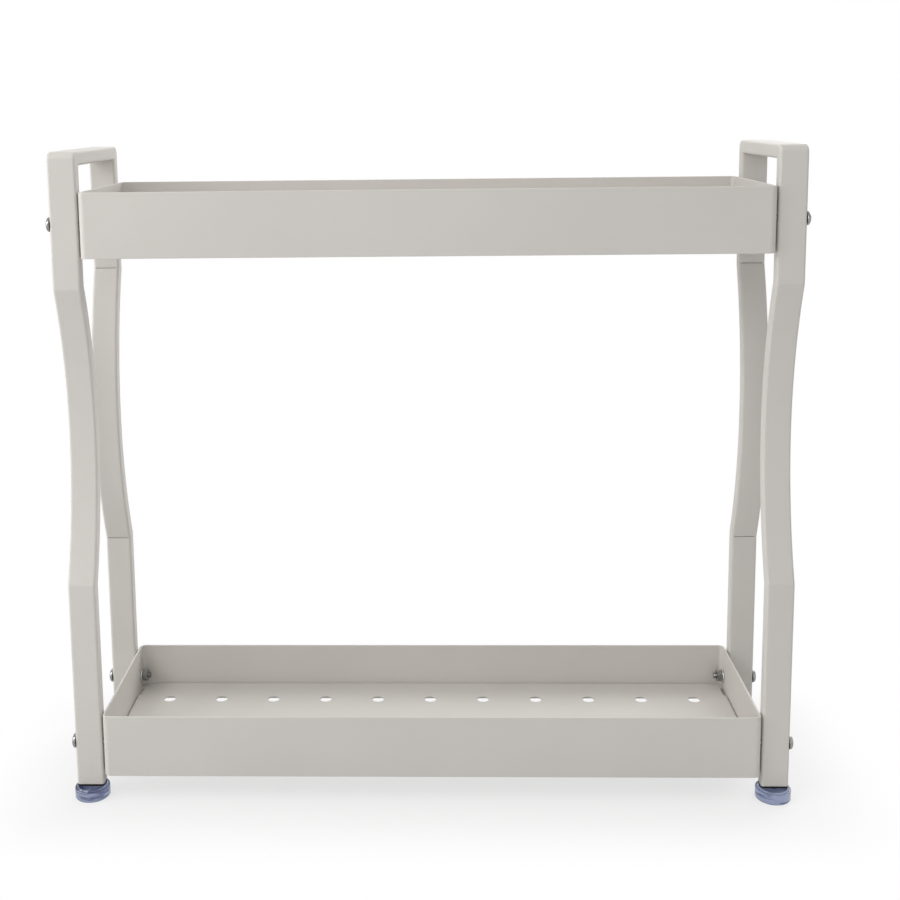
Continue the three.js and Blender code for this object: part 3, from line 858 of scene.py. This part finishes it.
def floor_material():
    """Matt pale floor that keeps the shelf's shadow near it and is seen as white further off."""
    material, nodes, links = new_material("floor")
    matt = nodes["Principled BSDF"]
    matt.inputs["Base Color"].default_value = (FLOOR_COLOUR, FLOOR_COLOUR, FLOOR_COLOUR, 1)
    matt.inputs["Roughness"].default_value = FLOOR_ROUGHNESS
    matt.inputs["Specular IOR Level"].default_value = 0
    glow = nodes.new("ShaderNodeEmission")
    footprint = (CAD_BOX[1][0], CAD_BOX[1][1], 0)
    place = nodes.new("ShaderNodeTexCoord").outputs["Object"]
    mirrored = add_vector_math(nodes, links, "ABSOLUTE", place).outputs["Vector"]
    past_edge = add_vector_math(nodes, links, "SUBTRACT", mirrored, footprint).outputs["Vector"]
    outside = add_vector_math(nodes, links, "MAXIMUM", past_edge).outputs["Vector"]
    distance = add_vector_math(nodes, links, "LENGTH", outside).outputs["Value"]
    share = nodes.new("ShaderNodeMapRange")
    share.interpolation_type = "SMOOTHSTEP"
    share.inputs["From Max"].default_value = FLOOR_FADE
    share.inputs["To Min"].default_value = FLOOR_GLOW_NEAR
    share.inputs["To Max"].default_value = FLOOR_GLOW_FAR
    links.new(distance, share.inputs["Value"])
    amount = nodes.new("ShaderNodeMath")
    amount.operation = "MULTIPLY"
    links.new(share.outputs["Result"], amount.inputs[0])
    links.new(seen_directly(nodes, links), amount.inputs[1])
    blend = nodes.new("ShaderNodeMixShader")
    links.new(amount.outputs[0], blend.inputs["Fac"])
    links.new(matt.outputs["BSDF"], blend.inputs[1])
    links.new(glow.outputs["Emission"], blend.inputs[2])
    links.new(blend.outputs["Shader"], nodes["Material Output"].inputs["Surface"])
    return material


def add_floor():
    bm = bmesh.new()
    bmesh.ops.create_grid(bm, x_segments=1, y_segments=1, size=FLOOR_SIZE / 2)
    mesh = bpy.data.meshes.new("floor")
    bm.to_mesh(mesh)
    mesh.materials.append(floor_material())
    floor = bpy.data.objects.new("floor", mesh)
    bpy.context.scene.collection.objects.link(floor)


def add_world():
    """Soft light that grows upwards, in front of a plain white background."""
    world = bpy.data.worlds.new("studio")
    bpy.context.scene.world = world
    world.use_nodes = True
    nodes, links = world.node_tree.nodes, world.node_tree.links
    ambient = nodes["Background"]
    ambient.inputs["Color"].default_value = (1, 1, 1, 1)
    direction = nodes.new("ShaderNodeTexCoord").outputs["Generated"]
    lean = add_vector_math(nodes, links, "DOT_PRODUCT", direction, WORLD_LEAN)
    level = nodes.new("ShaderNodeMath")
    level.inputs[1].default_value = WORLD_LIGHT
    links.new(lean.outputs["Value"], level.inputs[0])
    links.new(level.outputs[0], ambient.inputs["Strength"])
    white = nodes.new("ShaderNodeBackground")
    white.inputs["Color"].default_value = (1, 1, 1, 1)
    blend = nodes.new("ShaderNodeMixShader")
    links.new(seen_directly(nodes, links), blend.inputs["Fac"])
    links.new(ambient.outputs["Background"], blend.inputs[1])
    links.new(white.outputs["Background"], blend.inputs[2])
    links.new(blend.outputs["Shader"], nodes["World Output"].inputs["Surface"])


def add_lamps():
    for name, place, size, power in LAMPS:
        data = bpy.data.lights.new(name, "AREA")
        data.size = size
        data.energy = power
        lamp = bpy.data.objects.new(name, data)
        lamp.location = place
        aim = Vector(LAMP_AIM) - Vector(place)
        lamp.rotation_euler = aim.to_track_quat("-Z", "Y").to_euler()
        bpy.context.scene.collection.objects.link(lamp)


def add_camera():
    """The photograph's camera: place, turn, focal length and the shift of its frame."""
    right = Vector((math.cos(CAMERA_YAW), -math.sin(CAMERA_YAW), 0))
    ahead_flat = Vector((math.sin(CAMERA_YAW), math.cos(CAMERA_YAW), 0))
    ahead = math.cos(CAMERA_PITCH) * ahead_flat - Vector((0, 0, math.sin(CAMERA_PITCH)))
    up = math.sin(CAMERA_PITCH) * ahead_flat + Vector((0, 0, math.cos(CAMERA_PITCH)))
    rolled_right = math.cos(CAMERA_ROLL) * right + math.sin(CAMERA_ROLL) * up
    rolled_up = math.cos(CAMERA_ROLL) * up - math.sin(CAMERA_ROLL) * right
    turn = Matrix((rolled_right, rolled_up, -ahead)).transposed().to_4x4()
    data = bpy.data.cameras.new("camera")
    data.sensor_width = SENSOR_WIDTH
    data.lens = FOCAL_PIXELS * SENSOR_WIDTH / IMAGE_SIZE
    data.shift_x = 0.5 - PRINCIPAL_POINT[0] / IMAGE_SIZE
    data.shift_y = PRINCIPAL_POINT[1] / IMAGE_SIZE - 0.5
    camera = bpy.data.objects.new("camera", data)
    camera.matrix_world = Matrix.Translation(Vector(CAMERA_PLACE) * MM) @ turn
    bpy.context.scene.collection.objects.link(camera)
    bpy.context.scene.camera = camera


# Assembly

def drill(bm, tiers, sides, origin):
    """Cuts the screws' clearance holes; origin is where the mesh will be placed."""
    bits = bmesh.new()
    for tier, side, row in itertools.product(tiers, sides, ROWS):
        x, y, z = node_centre(f"screw_{tier}_{side}_{row}") - origin
        spots = circle(BORE_RADIUS, 0)
        ends = []
        for reach in (-DRILL_REACH, DRILL_REACH):
            ends.append(ring_verts(bits, [(x + reach, y + a, z + b) for a, b, _ in spots]))
        join_run(bits, ends)
        for end in ends:
            bits.faces.new(end)
    return cut(bm, bits)


def add_frames(coat):
    for side in SIDES:
        node = f"{side}_side_frame"
        origin = Vector((node_centre(node).x, 0, 0))
        bm = drill(side_frame(), TIERS, (side,), origin)
        add_piece(f"{side}_frame", bm, coat, node, Matrix.Translation(origin))


def add_trays(coat):
    for tier in TIERS:
        node = f"{tier}_tray_band"
        origin = Vector((0, 0, box_mm(node)[0].z))
        base = Matrix.Translation(origin)
        band = drill(tray_band(), (tier,), SIDES, origin)
        add_piece(f"{tier}_band", band, coat, node, base)
        node = f"{tier}_tray_floor_pan"
        add_piece(f"{tier}_pan", floor_pan(), coat, node, base)


def along_x(sign, place, twist=0.0):
    """Turns a fastener's axis outwards along X, at a place, with a twist about its own axis."""
    outwards = Matrix.Rotation(sign * QUARTER, 4, "Y")
    return Matrix.Translation(place) @ outwards @ Matrix.Rotation(twist, 4, "Z")


def add_fasteners():
    """Screws, washers and nuts; each nut has a flat towards the front."""
    # each kind of fastener gets its own painted tone of the same plated steel
    screw_steel_painted_reflection = plated_steel("screw_steel_painted_reflection")
    inner_kinds = (
        ("washer", washer, plated_steel("washer_steel_painted_highlight")),
        ("nut", nut, plated_steel("nut_steel_painted_shade")),
    )
    for i, (tier, side, row) in enumerate(itertools.product(TIERS, SIDES, ROWS)):
        sign, label = SIDES[side], f"{tier}_{side}_{row}"
        node = f"screw_{label}"
        low, high = box_mm(node)
        centre = (low + high) / 2
        outer = high.x if sign > 0 else low.x
        seat = Vector((outer - sign * HEAD_HEIGHT, centre.y, centre.z))
        bm = screw(high.x - low.x - HEAD_HEIGHT, (high.y - low.y) / 2)
        base = along_x(sign, seat, FIRST_TWIST + TWIST_STEP * i)
        add_piece(f"dome_screw_{label}", bm, screw_steel_painted_reflection, node, base)
        for kind, make, steel in inner_kinds:
            node = f"{kind}_{label}"
            low, high = box_mm(node)
            bm = make(min(high.y - low.y, high.z - low.z), high.x - low.x)
            seat = Vector((low.x if sign > 0 else high.x, centre.y, centre.z))
            add_piece(f"steel_{node}", bm, steel, node, along_x(sign, seat))


def on_base(low, high):
    """Placement at the middle of a box's lower face."""
    return Matrix.Translation(((low.x + high.x) / 2, (low.y + high.y) / 2, low.z))


def add_feet():
    black, clear = black_plastic(), clear_plastic()
    for side, row in itertools.product(SIDES, ROWS):
        label = f"{side}_{row}"
        node = f"tube_plug_{label}"
        low, high = box_mm(node)
        bm = plug(high - low)
        add_piece(f"end_plug_{label}", bm, black, node, on_base(low, high))
        node = f"foot_{label}"
        low, high = box_mm(node)
        bm = foot((high.x - low.x) / 2, high.z - low.z)
        add_piece(f"clear_foot_{label}", bm, clear, node, on_base(low, high))


coat = powder_coat()
add_frames(coat)
add_trays(coat)
add_fasteners()
add_feet()
add_floor()
add_world()
add_lamps()
add_camera()
bpy.context.scene.view_settings.view_transform = "Standard"
